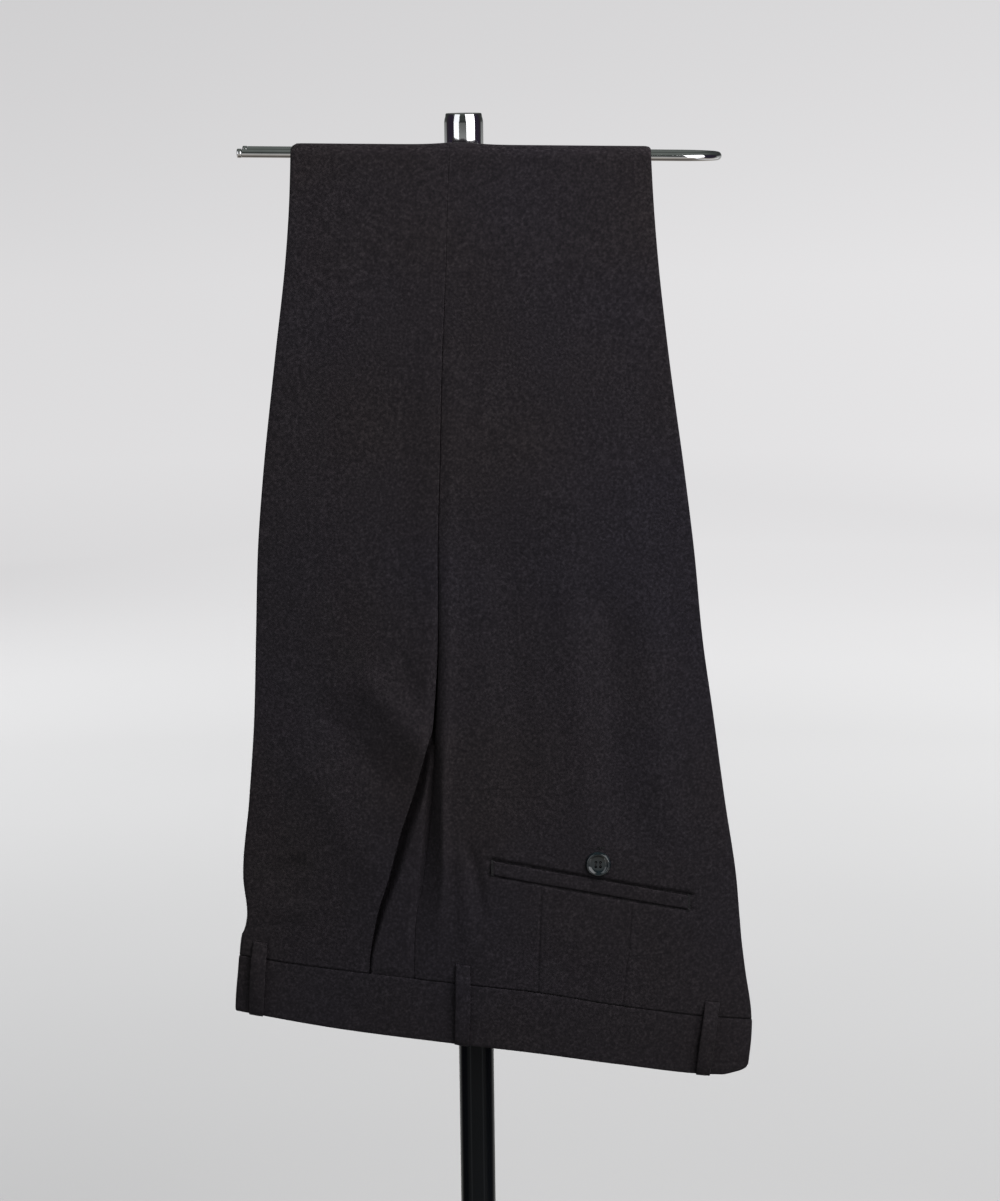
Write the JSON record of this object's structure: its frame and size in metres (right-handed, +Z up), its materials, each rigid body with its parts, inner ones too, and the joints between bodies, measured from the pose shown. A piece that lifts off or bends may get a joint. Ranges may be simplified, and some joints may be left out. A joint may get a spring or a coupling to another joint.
{
  "type": "suit trousers on a display stand",
  "caption": "Dark suit trousers folded leg on leg and hung waist down over a chrome rail on a round black pole stand.",
  "frame": {"origin": "on the floor, at the underside of the base plate, on the axis of the pole", "axes": "+Z up along the pole, -Y towards the front, where the trousers hang, +X along the rail towards its closed end and the back creases of the trousers"},
  "size_m": [0.3595, 0.31, 1.0763],
  "materials": {
    "suiting": "fine matt worsted wool, charcoal black",
    "button": "polished dark slate resin",
    "chrome": "polished chrome plate",
    "black_gloss": "high gloss black"
  },
  "bodies": {
    "root": {"base_plate": "black_gloss", "pole": "black_gloss", "pole_sleeve": "chrome", "rail": "chrome", "rail_cap_front": "chrome", "rail_cap_rear": "chrome", "right_front": "suiting", "right_back": "suiting", "right_waistband": "suiting", "right_pocket_facing": "suiting", "right_back_welt": "suiting", "right_belt_loop_front": "suiting", "right_belt_loop_side": "suiting", "right_belt_loop_back": "suiting", "right_back_button": "button", "left_front": "suiting", "left_back": "suiting", "left_waistband": "suiting", "left_pocket_facing": "suiting", "left_back_welt": "suiting", "left_belt_loop_front": "suiting", "left_belt_loop_side": "suiting", "left_belt_loop_back": "suiting", "left_back_button": "button"}
  },
  "joints": []
}
